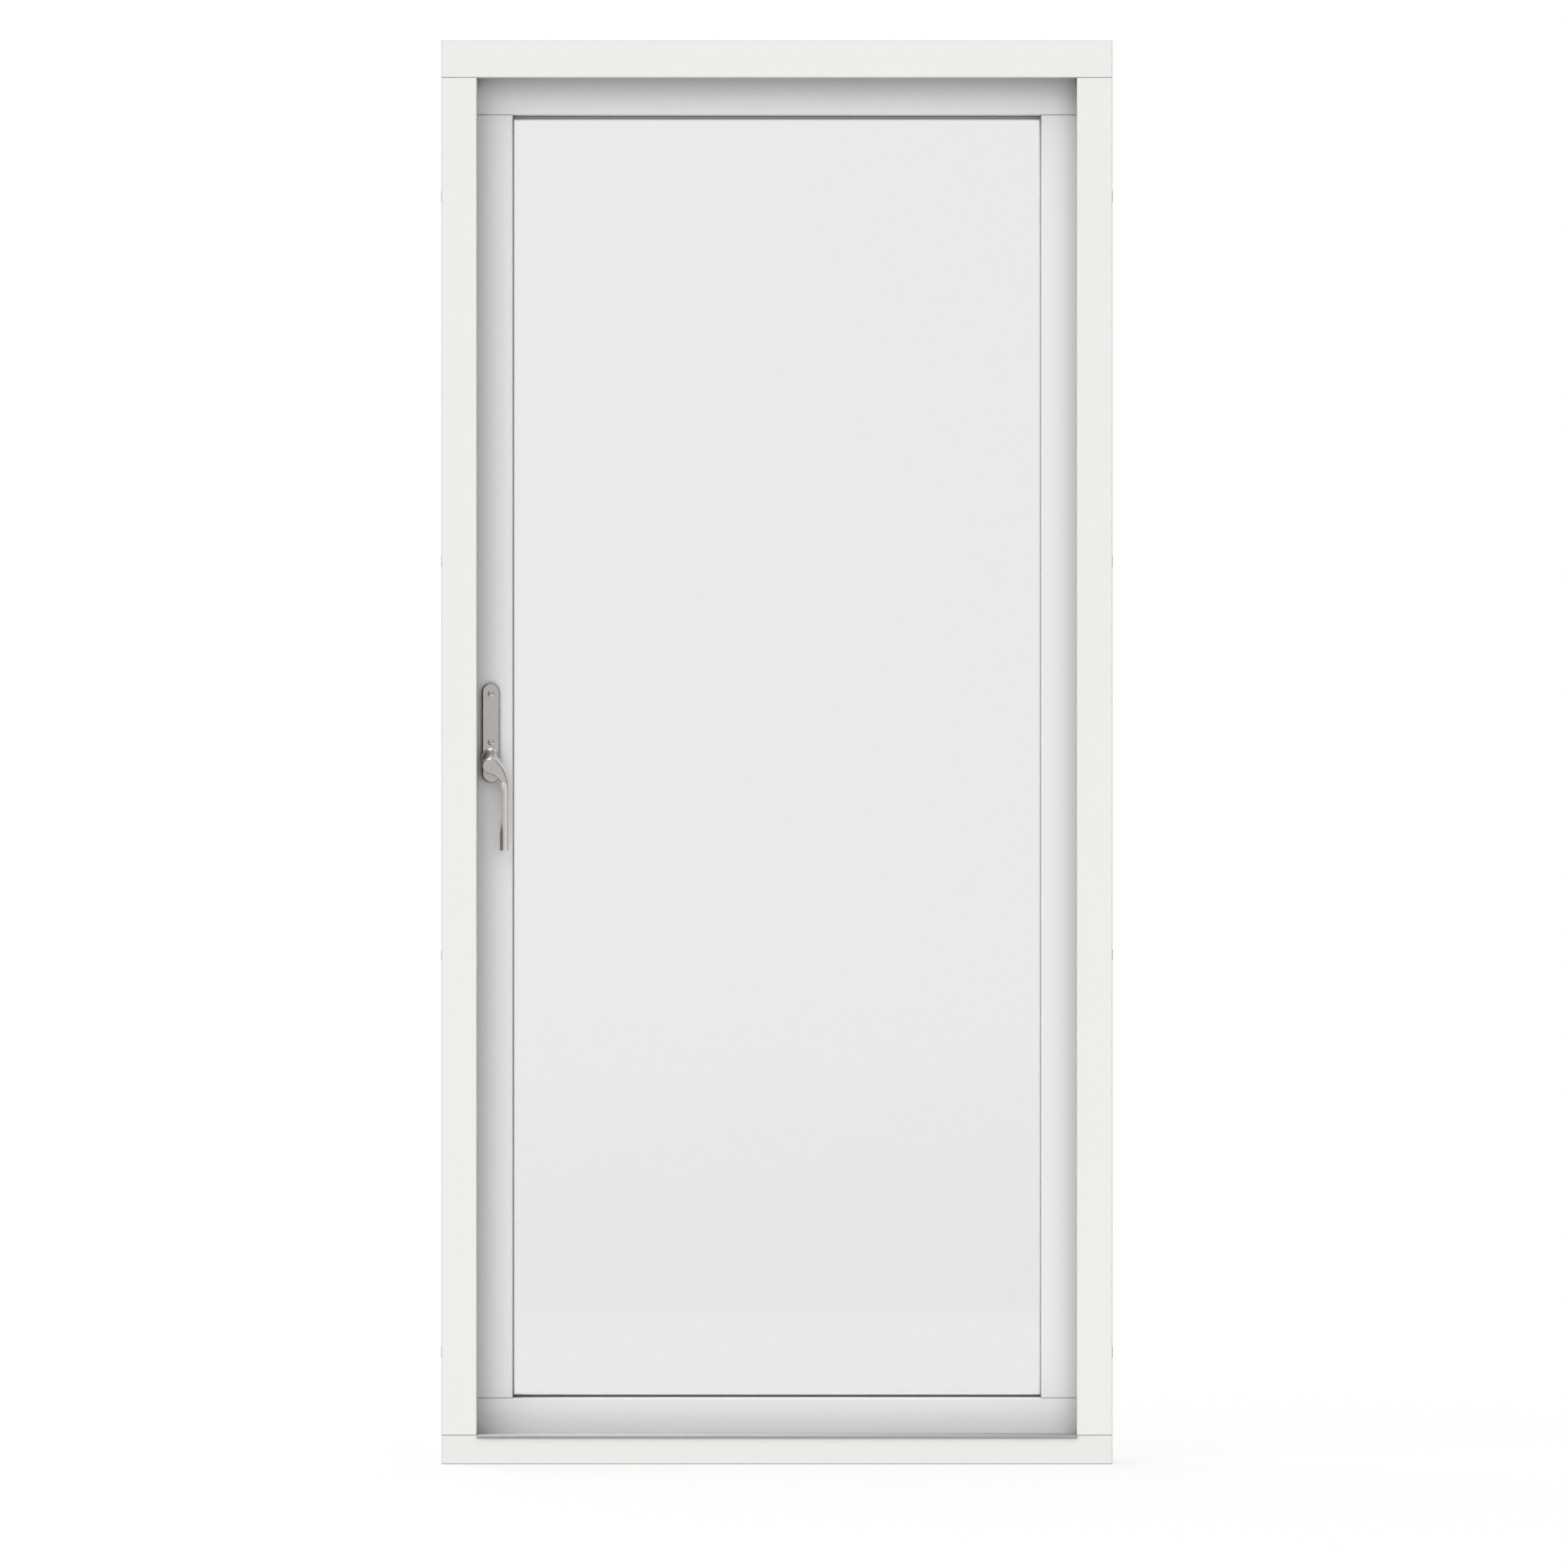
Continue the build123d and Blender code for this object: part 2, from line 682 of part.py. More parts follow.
# Lever: a flared neck that leans to the head, an arm that sweeps down, and a scooped grip
neck_base = sash_front - plate_thickness - neck_gap
neck_foot = neck_base - neck_start
neck_lean = Vector(-head_aside, sash_front - head_back - neck_foot, -head_drop)
back_shift = head_back_radius - head_radius
back_centre = Vector(head_x + back_shift, head_z + back_shift)
scoop_x = head_x + scoop_middle
scoop_y = sash_front - head_front - scoop_radius + scoop_depth
scoop_turn = Vector(scoop_x, scoop_y, head_z - scoop_straight)
crease_run = Vector(crease_foot[0] - crease_top[0], 0, crease_foot[1] - crease_top[1])
crease_start = Vector(
    head_x + crease_top[0],
    sash_front - head_front - crease_radius + crease_depth,
    head_z + crease_top[1],
)
with BuildPart() as handle_lever:
    loft(
        sections=[
            lever_outline(head_back, back_centre, head_back_radius, grip_outer_back, heel_back),
            lever_outline(head_front, Vector(head_x, head_z), head_radius, grip_outer, heel_front),
        ],
        ruled=True,
    )
    front_edges = handle_lever.faces().sort_by(Axis.Y)[0].edges()
    chamfer(front_edges.filter_by(GeomType.CIRCLE), head_edge)
    with BuildSketch(Plane(origin=crease_start, z_dir=crease_run)):
        Circle(crease_radius)
    extrude(amount=crease_run.length, mode=Mode.SUBTRACT)
    with BuildLine() as scoop_path:
        Line((scoop_x, scoop_y, head_z - grip_end - scoop_radius), scoop_turn)
        TangentArc(
            scoop_turn,
            scoop_turn + Vector(scoop_fade_aside, -scoop_fade_out, scoop_fade_up),
            tangent=(0, 0, 1),
        )
    with BuildSketch(Plane.XY.offset(head_z - grip_end - scoop_radius)):
        with Locations((scoop_x, scoop_y)):
            Circle(scoop_radius)
    sweep(path=scoop_path.line, mode=Mode.SUBTRACT)
    with BuildSketch(Plane.YZ.offset(plate_x)):
        with BuildLine():
            Polyline(
                (neck_base, handle_height),
                (neck_base, handle_height + collar_radius),
                (neck_base - collar_rim, handle_height + collar_radius),
                (neck_base - flare_turn[0], handle_height + flare_turn[1]),
                (neck_foot, handle_height + neck_radius),
                (neck_foot, handle_height),
                close=True,
            )
        make_face()
    revolve(axis=Axis((plate_x, 0, handle_height), (0, 1, 0)))
    with BuildSketch(Plane.XZ.offset(-neck_foot)):
        with Locations((plate_x, handle_height)):
            Circle(neck_radius)
    extrude(amount=neck_lean.length, dir=neck_lean)
    with BuildSketch(Plane.XZ.offset(-neck_base)):
        with Locations((plate_x, handle_height)):
            Circle(pilot_radius)
    extrude(amount=-pilot_length - neck_gap)
save(handle_lever.part, "handle_lever")
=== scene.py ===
import bpy
import bmesh
import math
import json
from mathutils import Matrix, Vector


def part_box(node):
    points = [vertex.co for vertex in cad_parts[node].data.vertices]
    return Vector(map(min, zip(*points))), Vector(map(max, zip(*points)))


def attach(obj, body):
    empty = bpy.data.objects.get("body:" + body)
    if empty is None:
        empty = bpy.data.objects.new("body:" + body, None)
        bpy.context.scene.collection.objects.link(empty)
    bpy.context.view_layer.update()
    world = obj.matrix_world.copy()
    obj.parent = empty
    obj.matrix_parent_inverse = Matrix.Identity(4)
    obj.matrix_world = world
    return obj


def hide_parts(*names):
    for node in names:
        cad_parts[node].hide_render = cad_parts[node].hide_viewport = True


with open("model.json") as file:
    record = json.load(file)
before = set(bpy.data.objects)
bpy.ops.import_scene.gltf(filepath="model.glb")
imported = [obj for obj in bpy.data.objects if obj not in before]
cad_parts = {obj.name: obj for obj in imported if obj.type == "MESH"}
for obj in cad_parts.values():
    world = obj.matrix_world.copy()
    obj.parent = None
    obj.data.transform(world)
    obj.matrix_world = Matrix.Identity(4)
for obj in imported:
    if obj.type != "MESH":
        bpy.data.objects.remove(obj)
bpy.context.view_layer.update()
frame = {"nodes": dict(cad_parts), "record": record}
print("frame loaded:", len(frame["nodes"]), "nodes")


# Shader and mesh helpers


def toLinear(hexCode):
    # sRGB hex to the linear colour that a shader socket takes
    channels = [int(hexCode[i:i + 2], 16) / 255 for i in (1, 3, 5)]
    return tuple(c / 12.92 if c <= 0.04045 else ((c + 0.055) / 1.055) ** 2.4 for c in channels) + (1.0,)


def perMetre(millimetres):
    # Texture scale that gives a feature of this size, since coordinates are in metres
    return 1000 / millimetres


def addNode(tree, kind, settings=None, values=None, links=None):
    # One shader node with its settings, its socket values and what feeds it
    node = tree.nodes.new("ShaderNode" + kind)
    for name, value in (settings or {}).items():
        setattr(node, name, value)
    for socket, value in (values or {}).items():
        node.inputs[socket].default_value = value
    for socket, source in (links or {}).items():
        tree.links.new(source, node.inputs[socket])
    return node


def newMaterial(name):
    material = bpy.data.materials.new(name)
    material.use_nodes = True
    tree = material.node_tree
    tree.nodes.clear()
    return material, tree, addNode(tree, "OutputMaterial")


def dress(material, *nodeNames):
    # The CAD nodes keep their meshes and get this material
    for nodeName in nodeNames:
        for materialSlot in frame["nodes"][nodeName].material_slots:
            materialSlot.material = material


def addPiece(name, mesh, material, body, slot, *replaced):
    # A new piece with its finish, the body that it rides on and the CAD nodes that it stands for
    piece = bpy.data.objects.new(name, mesh)
    bpy.context.scene.collection.objects.link(piece)
    mesh.materials.clear()
    mesh.materials.append(material)
    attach(piece, body)
    if replaced:
        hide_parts(*replaced)
    return piece


def smoothed(mesh, sharpDegrees=35):
    # Smooth shading that stops at edges sharper than this
    mesh.shade_smooth()
    mesh.set_sharp_from_angle(angle=math.radians(sharpDegrees))
    return mesh


def lathe(name, profile, steps):
    # A turned form: the outline (radius, height) swung round the Z axis
    builder = bmesh.new()
    rings = []
    for radius, height in profile:
        turns = [2 * math.pi * i / steps for i in range(steps)] if radius else [0]
        rings.append([
            builder.verts.new((radius * math.cos(a), radius * math.sin(a), height)) for a in turns
        ])
    for lower, upper in zip(rings, rings[1:]):
        for i in range(steps):
            around = ((lower, i), (lower, i + 1), (upper, i + 1), (upper, i))
            corners = [ring[j % len(ring)] for ring, j in around]
            builder.faces.new(list(dict.fromkeys(corners)))
    bmesh.ops.recalc_face_normals(builder, faces=builder.faces)
    mesh = bpy.data.meshes.new(name)
    builder.to_mesh(mesh)
    builder.free()
    return mesh


def taperedBar(length, width, top, depth, taper):
    # A cutter for a recess: a bar that narrows downwards from its top
    builder = bmesh.new()
    bmesh.ops.create_cube(builder, size=1)
    for vert in builder.verts:
        share, height = (1, top) if vert.co.z > 0 else (taper, top - depth)
        vert.co = Vector((vert.co.x * length * share, vert.co.y * width * share, height))
    mesh = bpy.data.meshes.new("cutter")
    builder.to_mesh(mesh)
    builder.free()
    return mesh


def cutAway(mesh, *cutterMeshes):
    # The mesh less its cutters, as a new mesh
    body = bpy.data.objects.new("body", mesh)
    bpy.context.scene.collection.objects.link(body)
    cutters = []
    for cutterMesh in cutterMeshes:
        cutter = bpy.data.objects.new("cutter", cutterMesh)
        bpy.context.scene.collection.objects.link(cutter)
        modifier = body.modifiers.new("cut", "BOOLEAN")
        modifier.object = cutter
        modifier.operation = "DIFFERENCE"
        cutters.append(cutter)
    bpy.context.view_layer.update()
    cut = bpy.data.meshes.new_from_object(body.evaluated_get(bpy.context.evaluated_depsgraph_get()))
    for spent in [body] + cutters:
        bpy.data.objects.remove(spent)
    return cut


def pointing(axis, place):
    # Places a form whose top is along +Z so that its top looks along axis
    return Matrix.Translation(place) @ Vector(axis).to_track_quat("Z", "Y").to_matrix().to_4x4()


def scattered(name, pattern, placements):
    # One mesh with a copy of the pattern at each placement
    builder = bmesh.new()
    for placement in placements:
        copy = pattern.copy()
        copy.transform(placement)
        builder.from_mesh(copy)
        bpy.data.meshes.remove(copy)
    mesh = bpy.data.meshes.new(name)
    builder.to_mesh(mesh)
    builder.free()
    return smoothed(mesh)


def mitredRing(name, halfWidth, low, high, section):
    # A section (inset, depth) carried round a rectangle, mitred at its corners
    builder = bmesh.new()
    corners = ((-1, 0), (1, 0), (1, 1), (-1, 1))
    loops = []
    for inset, depth in section:
        heights = (low + inset, high - inset)
        loops.append([
            builder.verts.new((side * (halfWidth - inset), depth, heights[level]))
            for side, level in corners
        ])
    for here, there in zip(loops, loops[1:] + loops[:1]):
        for i in range(4):
            builder.faces.new((here[i], here[(i + 1) % 4], there[(i + 1) % 4], there[i]))
    bmesh.ops.recalc_face_normals(builder, faces=builder.faces)
    mesh = bpy.data.meshes.new(name)
    builder.to_mesh(mesh)
    builder.free()
    return smoothed(mesh)


# Room: camera, floor, background, soft panels and lamp

room = {
    "cameraDistance": 15.0,
    "cameraHeight": 1.04,
    "frontWidth": 2.2907,       # metres across the picture at the frame's front face
    "centrePixel": (957.25, 927),
    "pictureSize": 1932,
    "sensor": 36.0,
    "clipEnd": 100.0,
    "paperHex": "#ffffff",
    "ambient": 0.44,            # strength of the light from all round
    "lampStrength": 6.0,
    "lampSize": 2.6,
    "lampPlace": (-2.4, -6.5, 5.5),
    "floorSize": 8.0,
    "floorShadow": 0.16,        # how much of the shadow the white floor shows
    "floorLight": 1.12,         # light that falls on the open floor
}
# Panels: degrees off the line of view, degrees round it from the right, where full and where gone
panels = {
    "upperRight": {"offAxis": 22.5, "turn": 39.5, "full": 12, "gone": 19, "strength": 2.15},
    "upperLeft": {"offAxis": 54.7, "turn": 125, "full": 17, "gone": 33.5, "strength": 2.4},
    "low": {"offAxis": 37, "turn": 263, "full": 1, "gone": 33, "strength": 1.25},
}
mirroredAmbient = 0.31
mirroredPanels = {              # what the metal shows of the room behind the viewer
    "viewer": {"offAxis": 9, "turn": 180, "full": 7, "gone": 15, "strength": 0.4},
    "leftStrip": {"offAxis": 38, "turn": 178, "full": 6, "gone": 22, "strength": 0.62},
    "topStrip": {"offAxis": 61, "turn": 101, "full": 6, "gone": 20, "strength": 2.1},
    "upperRight": {"offAxis": 44, "turn": 58, "full": 4, "gone": 14, "strength": 1.6},
    "low": {"offAxis": 50, "turn": 262, "full": 5, "gone": 35, "strength": 0.5},
}


def buildCamera():
    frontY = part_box("frame_head")[0].y
    camera = bpy.data.objects.new("camera", bpy.data.cameras.new("camera"))
    bpy.context.scene.collection.objects.link(camera)
    camera.location = (0, frontY - room["cameraDistance"], room["cameraHeight"])
    camera.rotation_euler = (math.radians(90), 0, 0)
    camera.data.sensor_width = room["sensor"]
    camera.data.lens = room["sensor"] * room["cameraDistance"] / room["frontWidth"]
    camera.data.clip_end = room["clipEnd"]
    middle = room["pictureSize"] / 2
    camera.data.shift_x = (middle - room["centrePixel"][0]) / room["pictureSize"]
    camera.data.shift_y = (room["centrePixel"][1] - middle) / room["pictureSize"]
    bpy.context.scene.camera = camera


def straightRays(tree, rays):
    # 1 for the rays that show the white background without a reflection
    return addNode(
        tree, "Math", {"operation": "MAXIMUM"},
        links={0: rays.outputs["Is Camera Ray"], 1: rays.outputs["Is Transmission Ray"]},
    ).outputs[0]


def panelLight(tree, direction, ambient, group):
    # The ambient light and the soft panels, the same in front of the object as behind it
    axes = addNode(tree, "SeparateXYZ", links={0: direction})
    facing = addNode(tree, "Math", {"operation": "ABSOLUTE"}, links={0: axes.outputs["Y"]})
    folded = addNode(
        tree, "CombineXYZ",
        links={"X": axes.outputs["X"], "Y": facing.outputs[0], "Z": axes.outputs["Z"]},
    )
    ambientShare = ambient / len(group)     # each panel carries its part of the light from all round
    total = None
    for panel in group.values():
        off, turn = math.radians(panel["offAxis"]), math.radians(panel["turn"])
        aim = (math.sin(off) * math.cos(turn), math.cos(off), math.sin(off) * math.sin(turn))
        near = addNode(
            tree, "VectorMath", {"operation": "DOT_PRODUCT"}, {1: aim}, {0: folded.outputs[0]}
        )
        lit = addNode(
            tree, "MapRange", {"interpolation_type": "SMOOTHSTEP"},
            {
                "From Min": math.cos(math.radians(panel["gone"])),
                "From Max": math.cos(math.radians(panel["full"])),
                "To Min": ambientShare,
                "To Max": ambientShare + panel["strength"],
            },
            {"Value": near.outputs["Value"]},
        )
        total = lit if total is None else addNode(
            tree, "Math", {"operation": "ADD"}, links={0: total.outputs[0], 1: lit.outputs[0]}
        )
    return total.outputs[0], axes.outputs["Y"]


def buildWorld():
    # Soft panels light the object, and white paper shows behind it, in its metal and through its glass
    world = bpy.data.worlds.new("studio")
    bpy.context.scene.world = world
    world.use_nodes = True
    tree = world.node_tree
    tree.nodes.clear()
    paper = toLinear(room["paperHex"])
    direction = addNode(tree, "TexCoord").outputs["Generated"]
    light, depth = panelLight(tree, direction, room["ambient"], panels)
    mirroredLight = panelLight(tree, direction, mirroredAmbient, mirroredPanels)[0]
    rays = addNode(tree, "LightPath")
    strength = addNode(
        tree, "Mix", {"data_type": "FLOAT"},
        links={0: rays.outputs["Is Glossy Ray"], 2: light, 3: mirroredLight},
    )
    sky = addNode(tree, "Background", values={"Color": paper}, links={"Strength": strength.outputs[0]})
    backdrop = addNode(tree, "Background", values={"Color": paper, "Strength": 1.0})
    behind = addNode(tree, "Math", {"operation": "GREATER_THAN"}, {1: 0.0}, {0: depth})
    mirrored = addNode(
        tree, "Math", {"operation": "MULTIPLY"},
        links={0: rays.outputs["Is Glossy Ray"], 1: behind.outputs[0]},
    )
    seen = addNode(
        tree, "Math", {"operation": "MAXIMUM"},
        links={0: straightRays(tree, rays), 1: mirrored.outputs[0]},
    )
    mixed = addNode(
        tree, "MixShader", links={0: seen.outputs[0], 1: sky.outputs[0], 2: backdrop.outputs[0]}
    )
    addNode(tree, "OutputWorld", links={"Surface": mixed.outputs[0]})


def buildFloor():
    # A white paper floor with a faint shadow, which lets the light of the low panel through
    half = room["floorSize"] / 2
    mesh = bpy.data.meshes.new("floor")
    corners = [(-half, -half, 0), (half, -half, 0), (half, half, 0), (-half, half, 0)]
    mesh.from_pydata(corners, [], [(0, 1, 2, 3)])
    floor = bpy.data.objects.new("floor", mesh)
    bpy.context.scene.collection.objects.link(floor)
    material, tree, output = newMaterial("paperFloor")
    share = room["floorShadow"] / room["floorLight"]
    white = addNode(tree, "BsdfDiffuse", values={"Color": (share, share, share, 1)})
    paintedGlow = addNode(
        tree, "Emission",
        values={"Color": toLinear(room["paperHex"]), "Strength": 1 - room["floorShadow"]},
    )
    shown = addNode(tree, "AddShader", links={0: paintedGlow.outputs[0], 1: white.outputs[0]})
    rays = addNode(tree, "LightPath")
    seen = addNode(
        tree, "Math", {"operation": "MAXIMUM"},
        links={0: straightRays(tree, rays), 1: rays.outputs["Is Glossy Ray"]},
    )
    clear = addNode(tree, "BsdfTransparent")
    mixed = addNode(
        tree, "MixShader", links={0: seen.outputs[0], 1: clear.outputs[0], 2: shown.outputs[0]}
    )
    tree.links.new(mixed.outputs[0], output.inputs["Surface"])
    mesh.materials.append(material)


def buildLamp():
    # One large soft lamp above the viewer's left shoulder
    lamp = bpy.data.objects.new("softLamp", bpy.data.lights.new("softLamp", "AREA"))
    bpy.context.scene.collection.objects.link(lamp)
    lamp.data.size = room["lampSize"]
    lamp.data.energy = room["lampStrength"]
    lamp.location = room["lampPlace"]
    aim = Vector((0, 0, room["cameraHeight"])) - lamp.location
    lamp.rotation_euler = aim.to_track_quat("-Z", "Y").to_euler()


bpy.context.scene.view_settings.view_transform = "Standard"
buildCamera()
buildWorld()
buildFloor()
buildLamp()
print("room built")


# What a surface throws on its neighbours: kept low for every opaque finish, as in the photograph

bounceHex = "#303030"


def finished(tree, output, surface):
    rays = addNode(tree, "LightPath")
    thrown = addNode(tree, "BsdfDiffuse", values={"Color": toLinear(bounceHex)})
    mixed = addNode(
        tree, "MixShader",
        links={0: rays.outputs["Is Diffuse Ray"], 1: surface.outputs[0], 2: thrown.outputs[0]},
    )
    tree.links.new(mixed.outputs[0], output.inputs["Surface"])


# Painted pine: sprayed semi-matt over a sanded primer, so the grain shows only as faint long ripples

paint = {
    "frame": ("#ededea", "#ebebe8"),    # the fresh coat and its slightly duller patches
    # the sill: the frame's coat a little darker, as painted shade near the floor
    "sill": ("#eaeae7", "#e8e8e5"),
    "sash": ("#f1f1f1", "#efefef"),
    "patchSize": 180,           # millimetres between slightly duller patches
    "grainAcross": 3.0,
    "grainAlong": 140.0,
    "peelSize": 2.2,
    "grainHeight": 0.00004,
    "peelHeight": 0.000015,
    "roughness": (0.36, 0.46),
    "specular": 0.4,
    "jointShadeReach": 0.0016,       # metres over which painted shade darkens a joint or inner corner
    "jointShadeOpen": (0.6, 0.9),    # how open a point is where the painted shade is darkest and where it ends
    "jointShadeHex": "#969696",
    "nookReach": 0.02,          # the same in a narrow nook, such as that beside the handle plate
    "nookOpen": (0.12, 0.44),
    "nookShade": 0.08,
    "outside": (0.490, 2.080),  # metres from the frame's middle to its sides, from its base to its top
    "edgeShadeHex": "#c4c4c1",       # painted shade: a grey band along the outer front edges, where they turn from the light
    "edgeShadeBand": (0.0011, 0.0004),       # how far in the painted shade reaches, and over how much it fades
    "primerShadeHex": "#dadad7",     # the outer sides, which the wall hides, are only primed; their grey also serves as painted shade along the outline
    "primerShadeEdge": (0.0001, 0.00005),
}


def nearOutside(tree, place, edge):
    # 1 at the frame's outer sides and top, and 0 further in than the edge
    axes = addNode(tree, "SeparateXYZ", links={0: place})
    aside = addNode(tree, "Math", {"operation": "ABSOLUTE"}, links={0: axes.outputs["X"]})
    inset, fade = edge
    shares = [
        addNode(
            tree, "MapRange", values={"From Min": reach - inset, "From Max": reach - inset + fade},
            links={"Value": source},
        )
        for reach, source in zip(paint["outside"], (aside.outputs[0], axes.outputs["Z"]))
    ]
    return addNode(
        tree, "Math", {"operation": "MAXIMUM"}, links={0: shares[0].outputs[0], 1: shares[1].outputs[0]}
    ).outputs[0]


def paintedPine(name, member, grainAxis):
    # The grain runs along grainAxis; a soft sheen comes from the roughness
    material, tree, output = newMaterial(name)
    place = addNode(tree, "TexCoord").outputs["Object"]
    stretch = [perMetre(paint["grainAcross"])] * 3
    stretch[grainAxis] = perMetre(paint["grainAlong"])
    along = addNode(tree, "Mapping", values={"Scale": stretch}, links={"Vector": place})
    grain = addNode(
        tree, "TexNoise", values={"Scale": 1.0, "Detail": 3.0}, links={"Vector": along.outputs[0]}
    )
    peel = addNode(
        tree, "TexNoise", values={"Scale": perMetre(paint["peelSize"]), "Detail": 1.0},
        links={"Vector": place},
    )
    patches = addNode(
        tree, "TexNoise", values={"Scale": perMetre(paint["patchSize"]), "Detail": 2.0},
        links={"Vector": place},
    )
    colour = addNode(
        tree, "Mix", {"data_type": "RGBA"},
        {6: toLinear(paint[member][0]), 7: toLinear(paint[member][1])}, {0: patches.outputs[0]},
    )
    # Painted shade: occlusion darkens the paint along joints and in inner corners
    openness = addNode(tree, "AmbientOcclusion", {"samples": 8}, {"Distance": paint["jointShadeReach"]})
    clearOfShade = addNode(
        tree, "MapRange", values={"From Min": paint["jointShadeOpen"][0], "From Max": paint["jointShadeOpen"][1]},
        links={"Value": openness.outputs["AO"]},
    )
    # Painted shade along the frame's outline: a grey band just inside the outer front edges
    edgeShaded = addNode(
        tree, "Mix", {"data_type": "RGBA"}, {7: toLinear(paint["edgeShadeHex"])},
        {0: nearOutside(tree, place, paint["edgeShadeBand"]), 6: colour.outputs[2]},
    )
    # Grey primer on the outer sides, which also darkens the outline as painted shade
    primedAndShaded = addNode(
        tree, "Mix", {"data_type": "RGBA"}, {7: toLinear(paint["primerShadeHex"])},
        {0: nearOutside(tree, place, paint["primerShadeEdge"]), 6: edgeShaded.outputs[2]},
    )
    jointShaded = addNode(
        tree, "Mix", {"data_type": "RGBA"}, {6: toLinear(paint["jointShadeHex"])},
        {0: clearOfShade.outputs[0], 7: primedAndShaded.outputs[2]},
    )
    nook = addNode(tree, "AmbientOcclusion", {"samples": 8}, {"Distance": paint["nookReach"]})
    shade = addNode(
        tree, "MapRange",
        values={
            "From Min": paint["nookOpen"][0],
            "From Max": paint["nookOpen"][1],
            "To Min": paint["nookShade"],
        },
        links={"Value": nook.outputs["AO"]},
    )
    shaded = addNode(
        tree, "VectorMath", {"operation": "SCALE"},
        links={0: jointShaded.outputs[2], "Scale": shade.outputs[0]},
    )
    rays = addNode(tree, "LightPath")
    shown = addNode(        # metal beside the nook mirrors it unshaded
        tree, "Mix", {"data_type": "RGBA"},
        links={0: rays.outputs["Is Glossy Ray"], 6: shaded.outputs[0], 7: jointShaded.outputs[2]},
    )
    roughness = addNode(
        tree, "MapRange", values={"To Min": paint["roughness"][0], "To Max": paint["roughness"][1]},
        links={"Value": peel.outputs[0]},
    )
    ripple = addNode(
        tree, "Bump", values={"Strength": 1.0, "Distance": paint["grainHeight"]},
        links={"Height": grain.outputs[0]},
    )
    dimple = addNode(
        tree, "Bump", values={"Strength": 1.0, "Distance": paint["peelHeight"]},
        links={"Height": peel.outputs[0], "Normal": ripple.outputs[0]},
    )
    surface = addNode(
        tree, "BsdfPrincipled", values={"Specular IOR Level": paint["specular"]},
        links={
            "Base Color": shown.outputs[2],
            "Roughness": roughness.outputs[0],
            "Normal": dimple.outputs[0],
        },
    )
    finished(tree, output, surface)
    return material


# Metals: one recipe of a fine lay of grain, coarser or finer, blasted or brushed


def metal(name, finish):
    # The grain gives a soft spread highlight; its long side follows finish["grain"]
    material, tree, output = newMaterial(name)
    place = addNode(tree, "TexCoord").outputs["Object"]
    lay = addNode(
        tree, "Mapping", values={"Scale": [perMetre(size) for size in finish["grain"]]},
        links={"Vector": place},
    )
    grain = addNode(
        tree, "TexNoise", values={"Scale": 1.0, "Detail": 2.0}, links={"Vector": lay.outputs[0]}
    )
    clouds = addNode(
        tree, "TexNoise", values={"Scale": perMetre(finish["cloudSize"])}, links={"Vector": place}
    )
    colour = addNode(
        tree, "Mix", {"data_type": "RGBA"},
        {6: toLinear(finish["hex"]), 7: toLinear(finish["dullHex"])}, {0: clouds.outputs[0]},
    )
    roughness = addNode(
        tree, "MapRange", values={"To Min": finish["roughness"][0], "To Max": finish["roughness"][1]},
        links={"Value": grain.outputs[0]},
    )
    rounded = addNode(tree, "Bevel", {"samples": 8}, {"Radius": finish["edge"]})
    bump = addNode(
        tree, "Bump", values={"Strength": 1.0, "Distance": finish["grainHeight"]},
        links={"Height": grain.outputs[0], "Normal": rounded.outputs[0]},
    )
    surface = addNode(
        tree, "BsdfPrincipled", values={"Metallic": 1.0},
        links={
            "Base Color": colour.outputs[2],
            "Roughness": roughness.outputs[0],
            "Normal": bump.outputs[0],
        },
    )
    finished(tree, output, surface)
    return material


satinNickel = {                 # plated casting, brushed first: a warm grey with a broad soft shine
    "hex": "#e0dad5",
    "dullHex": "#dad4cf",
    "grain": (0.5, 0.5, 4.0),
    "cloudSize": 30,
    "roughness": (0.24, 0.3),
    "grainHeight": 0.0000005,
    "edge": 0.0007,             # metres over which corners look rounded by polishing
}
zincPlate = {                   # bright zinc over rolled steel: cool, slightly cloudy from the bath
    "hex": "#c3c6c9",
    "dullHex": "#aeb0b1",
    "grain": (1.2, 1.2, 1.2),
    "cloudSize": 12,
    "roughness": (0.3, 0.45),
    "grainHeight": 0.00001,
    "edge": 0.0003,
}
millSpacer = {                  # roll-formed aluminium, left as it came: dull with faint roll lines
    "hex": "#b4b5b6",
    "dullHex": "#a8a9aa",
    "grain": (1.0, 0.5, 1.0),
    "cloudSize": 60,
    "roughness": (0.4, 0.5),
    "grainHeight": 0.00001,
    "edge": 0.0003,
}


# Threshold strip: satin anodised aluminium, with a painted highlight on its tread that is brightest at
# the lock side, and painted shade on its nose

tread = {
    # the tread's colour is a painted highlight that fades across it; the nose's is painted shade
    "treadHighlightHex": "#fffcf8",
    "treadShadeHex": "#b2aeab",
    "noseShadeHex": "#a3a09d",
    "highlightAt": -0.36,          # metres across where the tread's painted highlight is brightest and where it has faded
    "shadeAt": 0.42,
    "lines": (90.0, 0.8, 0.8),
    "lineHeight": 0.000012,
    "roughness": (0.4, 0.5),
    "metallic": 0.1,            # the thick satin skin scatters most of the light
}


